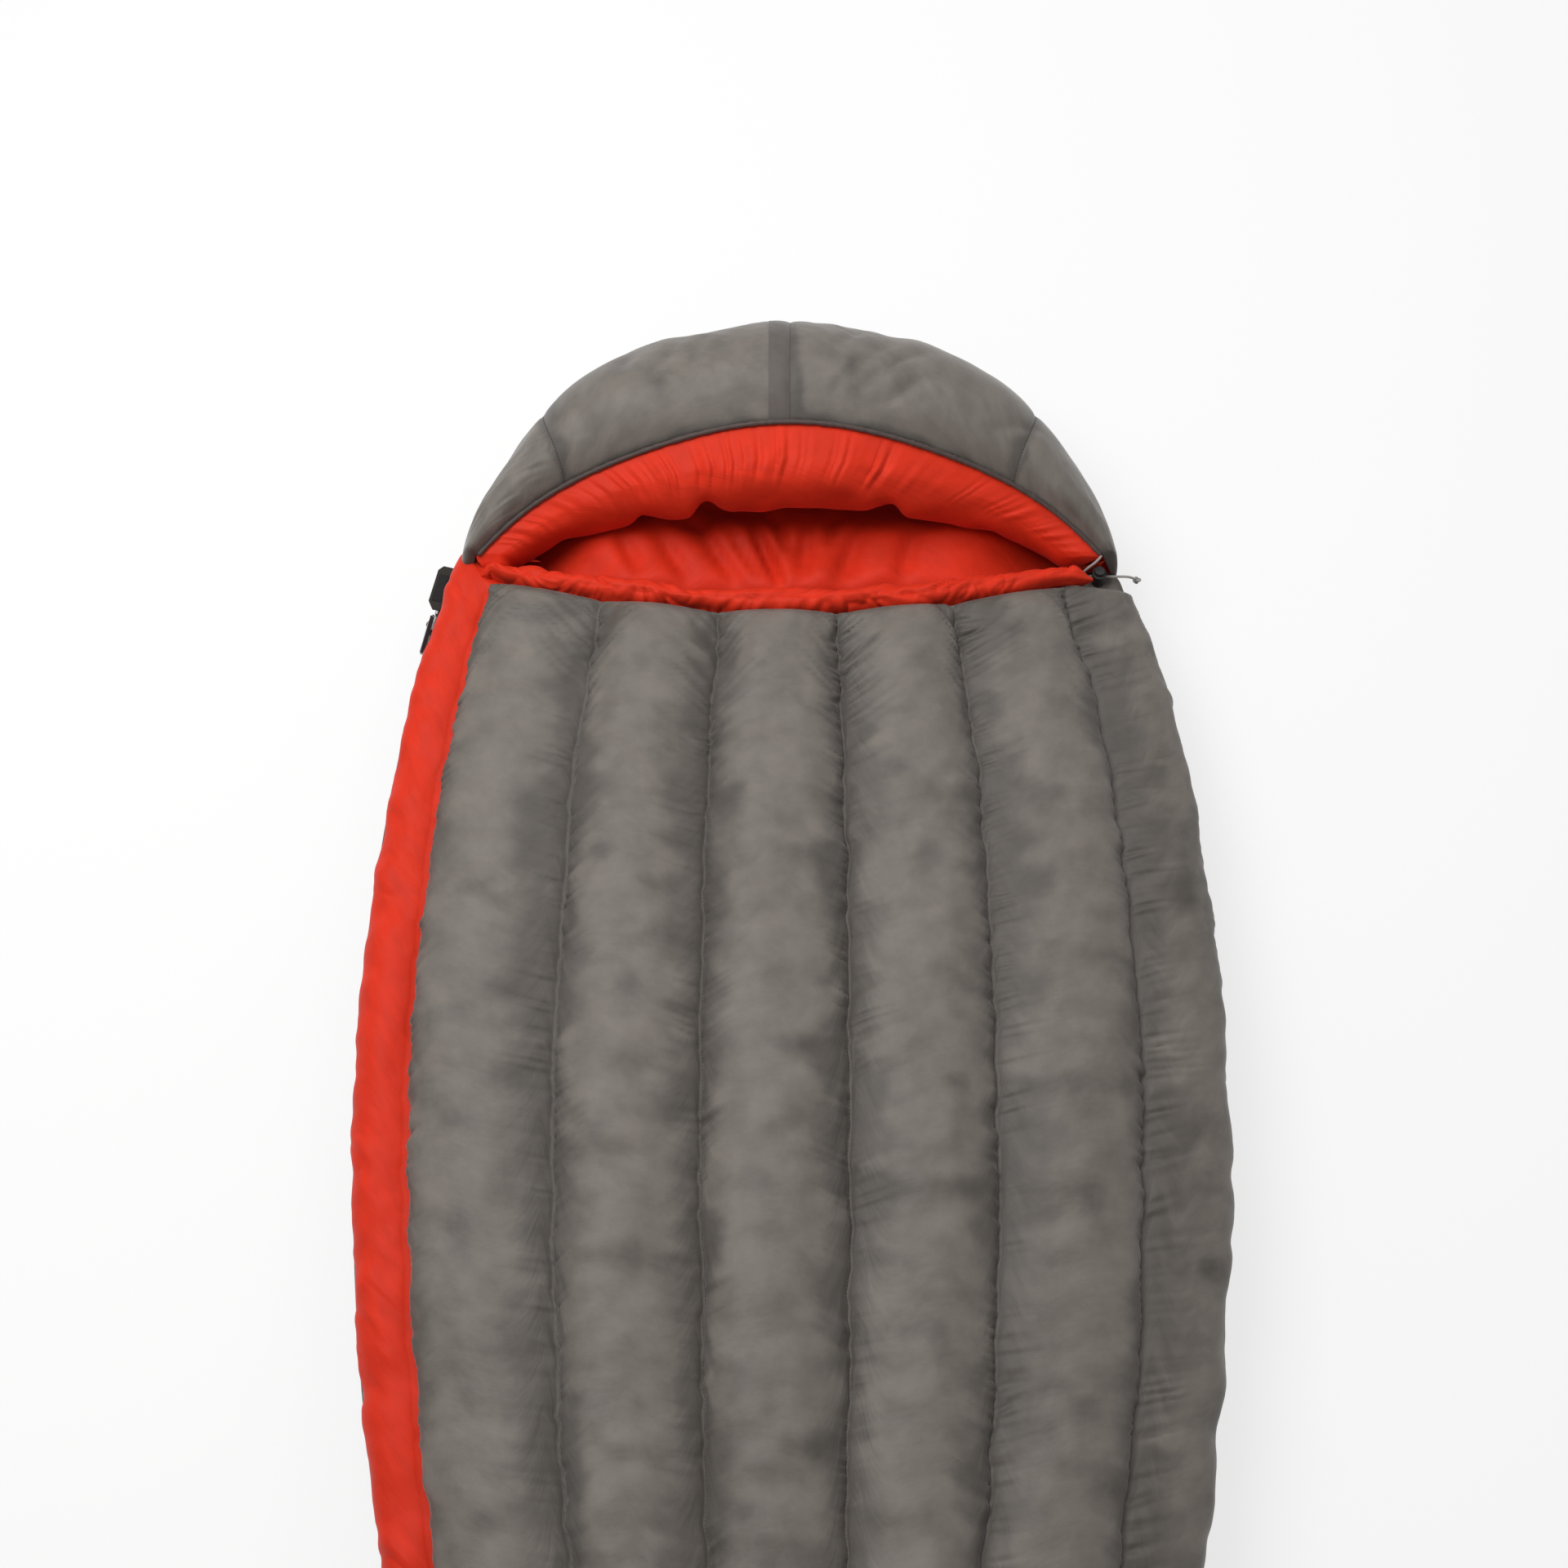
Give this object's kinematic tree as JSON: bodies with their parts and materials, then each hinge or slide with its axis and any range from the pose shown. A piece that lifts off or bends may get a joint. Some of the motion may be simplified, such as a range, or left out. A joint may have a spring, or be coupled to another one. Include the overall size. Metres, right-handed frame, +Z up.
{
  "type": "mummy sleeping bag",
  "caption": "Mummy sleeping bag with a grey quilted top, red lining and zip-side panel, gathered hood with drawcord and cord lock, draft collar and side zip.",
  "frame": {"origin": "centre of the bag's outline on the floor it lies on", "axes": "+Z up from the floor, +Y from the foot to the hood, +X across the bag away from the zip"},
  "size_m": [0.7587, 1.929, 0.2069],
  "materials": {
    "grey_cloth": "soft satin ripstop nylon",
    "red_cloth": "soft satin taffeta nylon",
    "down": "loose down clusters",
    "baffle_mesh": "fine netting",
    "black_webbing": "woven tape",
    "black_nylon": "nylon coil",
    "hook_loop": "hook and loop pile",
    "grey_cord": "braided cord",
    "black_plastic": "moulded acetal",
    "zip_metal": "satin black enamel",
    "spring_steel": "drawn wire"
  },
  "bodies": {
    "bag": {"front_shell": "grey_cloth", "zip_side_panel": "red_cloth", "front_baffles": "baffle_mesh", "front_down": "down", "front_lining": "red_cloth", "back_shell": "grey_cloth", "back_baffles": "baffle_mesh", "back_down": "down", "back_lining": "red_cloth", "foot_shell": "grey_cloth", "foot_down": "down", "foot_lining": "red_cloth", "hood_pad_shell": "grey_cloth", "hood_pad_down": "down", "hood_pad_lining": "red_cloth", "hood_side_left": "grey_cloth", "hood_crown_left": "grey_cloth", "hood_crown_right": "grey_cloth", "hood_side_right": "grey_cloth", "hood_crown_down": "down", "hood_lining": "red_cloth", "face_roll_sleeve": "red_cloth", "face_roll_down": "down", "rim_tunnel": "grey_cloth", "hood_drawcord": "grey_cord", "drawcord_tail": "grey_cord", "collar_sleeve": "red_cloth", "collar_down": "down", "collar_elastic": "black_webbing", "draft_tube_sleeve": "red_cloth", "draft_tube_down": "down", "zip_tape_front": "black_webbing", "zip_tape_back": "black_webbing", "zip_coil_front": "black_nylon", "zip_coil_back": "black_nylon", "zip_stops": "zip_metal", "tab_anchor": "black_webbing", "tab_loop": "hook_loop", "hang_loops": "black_webbing"},
    "zip_slider": {"zip_slider": "zip_metal"},
    "zip_pull": {"zip_pull": "zip_metal"},
    "cord_lock": {"cord_lock_body": "black_plastic", "cord_lock_spring": "spring_steel"},
    "lock_button": {"cord_lock_button": "black_plastic"},
    "neck_flap": {"neck_tab": "black_webbing", "tab_hook": "hook_loop"}
  },
  "joints": [
    {"name": "zip_travel", "type": "hinge", "parent": "bag", "child": "zip_slider", "pos_m": [1.624, 0.245, 0.078], "axis": [0, 0, 1], "range_deg": [0, 27.64]},
    {"name": "pull_flip", "type": "hinge", "parent": "zip_slider", "child": "zip_pull", "pos_m": [-0.33546, 0.67507, 0.078], "axis": [0, 0, -1], "range_deg": [0, 140]},
    {"name": "lock_slide", "type": "slide", "parent": "bag", "child": "cord_lock", "axis": [1, 0, 0], "range_m": [0, 0.012]},
    {"name": "button_press", "type": "slide", "parent": "cord_lock", "child": "lock_button", "axis": [0, 0, -1], "range_m": [0, 0.003], "stiffness_N_per_m": 400, "deforming": ["cord_lock_spring"]},
    {"name": "tab_fold", "type": "hinge", "parent": "bag", "child": "neck_flap", "pos_m": [-0.32062, 0.71409, 0.071], "axis": [0.2345, 0.9721, 0], "range_deg": [0, 55]}
  ]
}
